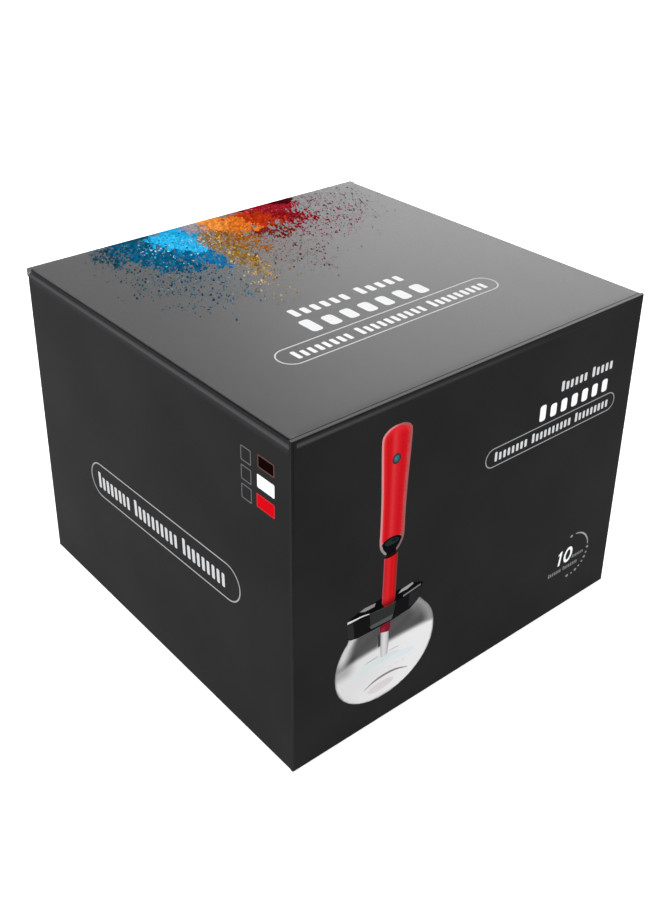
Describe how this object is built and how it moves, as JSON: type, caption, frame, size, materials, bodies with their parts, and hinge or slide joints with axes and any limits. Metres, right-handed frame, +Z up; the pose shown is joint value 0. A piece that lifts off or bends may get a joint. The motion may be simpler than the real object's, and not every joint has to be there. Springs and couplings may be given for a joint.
{
  "type": "boxed brush cleaner",
  "caption": "Tuck-top retail carton holding a battery brush cleaner kit: glass wash bowl with splash ring, motor handle, spindle and rubber collars in a tray.",
  "frame": {"origin": "middle of the carton's base, on the surface it stands on", "axes": "+Z up; -Y is the face with the picture of the product; +X to the right of that face"},
  "size_m": [0.16, 0.16, 0.127],
  "materials": {
    "carton_board": "charcoal printed, soft-touch laminate",
    "tray_film": "white vacuum-formed sheet",
    "clear_glass": "clear, polished",
    "red_gloss": "glossy moulded",
    "silver_plastic": "silver, satin",
    "black_plastic": "satin black",
    "black_rubber": "matt moulded",
    "teal_plastic": "satin",
    "steel": "plated",
    "contact_metal": "nickel plated",
    "circuit_laminate": "solder mask",
    "cell_wrap": "printed shrink film",
    "ferrite": "sintered"
  },
  "bodies": {
    "carton": {"front_panel": "carton_board", "back_panel": "carton_board", "left_panel": "carton_board", "right_panel": "carton_board", "glue_flap": "carton_board", "bottom_flap_front": "carton_board", "bottom_flap_back": "carton_board", "bottom_flap_left": "carton_board", "bottom_flap_right": "carton_board", "tray": "tray_film", "glass_bowl": "clear_glass", "collar_1": "black_rubber", "collar_2": "black_rubber", "collar_3": "black_rubber", "collar_4": "black_rubber", "collar_5": "black_rubber", "collar_6": "black_rubber", "collar_7": "black_rubber", "collar_8": "black_rubber"},
    "lid": {"lid_panel": "carton_board"},
    "tuck": {"tuck_flap": "carton_board"},
    "dust_left": {"dust_flap_left": "carton_board"},
    "dust_right": {"dust_flap_right": "carton_board"},
    "splash_ring": {"splash_ring": "black_plastic", "ring_gasket": "black_rubber"},
    "handle": {"rear_shell": "silver_plastic", "front_shell": "red_gloss", "nose_cone": "black_plastic", "nose_seal": "black_rubber", "motor_can": "steel", "motor_end_cap": "black_plastic", "motor_mount_ring": "black_rubber", "motor_magnet_1": "ferrite", "motor_magnet_2": "ferrite", "button_bezel": "black_plastic", "led_lens": "teal_plastic", "circuit_board": "circuit_laminate", "tact_switch": "black_plastic", "battery_1": "cell_wrap", "battery_2": "cell_wrap", "battery_spring_1": "steel", "battery_spring_2": "steel", "contact_plus": "contact_metal", "contact_minus": "contact_metal", "contact_bridge": "contact_metal", "shell_screw_1": "steel", "shell_screw_2": "steel"},
    "drive": {"drive_coupler": "black_plastic", "motor_shaft": "steel", "motor_rotor": "ferrite"},
    "power_button": {"power_button": "teal_plastic"},
    "battery_cover": {"battery_cover": "silver_plastic"},
    "spindle": {"spindle_tube": "red_gloss", "spindle_plug": "black_plastic"}
  },
  "joints": [
    {"name": "lid_hinge", "type": "hinge", "parent": "carton", "child": "lid", "pos_m": [0, 0.0785, 0.1255], "axis": [-1, 0, 0], "range_deg": [0, 176]},
    {"name": "tuck_fold", "type": "hinge", "parent": "lid", "child": "tuck", "pos_m": [0, -0.0767, 0.1255], "axis": [-1, 0, 0], "range_deg": [0, 54]},
    {"name": "dust_fold_left", "type": "hinge", "parent": "carton", "child": "dust_left", "pos_m": [-0.0785, 0, 0.1237], "axis": [0, -1, 0], "range_deg": [0, 126]},
    {"name": "dust_fold_right", "type": "hinge", "parent": "carton", "child": "dust_right", "pos_m": [0.0785, 0, 0.1237], "axis": [0, 1, 0], "range_deg": [0, 126]},
    {"name": "ring_lift", "type": "slide", "parent": "carton", "child": "splash_ring", "axis": [0, 0, 1], "range_m": [0, 0.016]},
    {"name": "handle_lift", "type": "slide", "parent": "carton", "child": "handle", "axis": [0, 0, 1], "range_m": [0, 0.028]},
    {"name": "drive_spin", "type": "hinge", "parent": "handle", "child": "drive", "pos_m": [-0.0588, -0.07, 0.07], "axis": [0, -1, 0], "continuous": true},
    {"name": "button_press", "type": "slide", "parent": "handle", "child": "power_button", "axis": [0, 0, -1], "range_m": [0, 0.0012], "stiffness_N_per_m": 800},
    {"name": "cover_slide", "type": "slide", "parent": "handle", "child": "battery_cover", "axis": [0, 1, 0], "range_m": [0, 0.02]},
    {"name": "spindle_lift", "type": "slide", "parent": "carton", "child": "spindle", "axis": [0, 0, 1], "range_m": [0, 0.022]}
  ],
  "couplings": [
    {"joint": "tuck_fold", "follows": "lid_hinge", "ratio": 0.3},
    {"joint": "dust_fold_left", "follows": "lid_hinge", "ratio": 0.7},
    {"joint": "dust_fold_right", "follows": "lid_hinge", "ratio": 0.7}
  ]
}
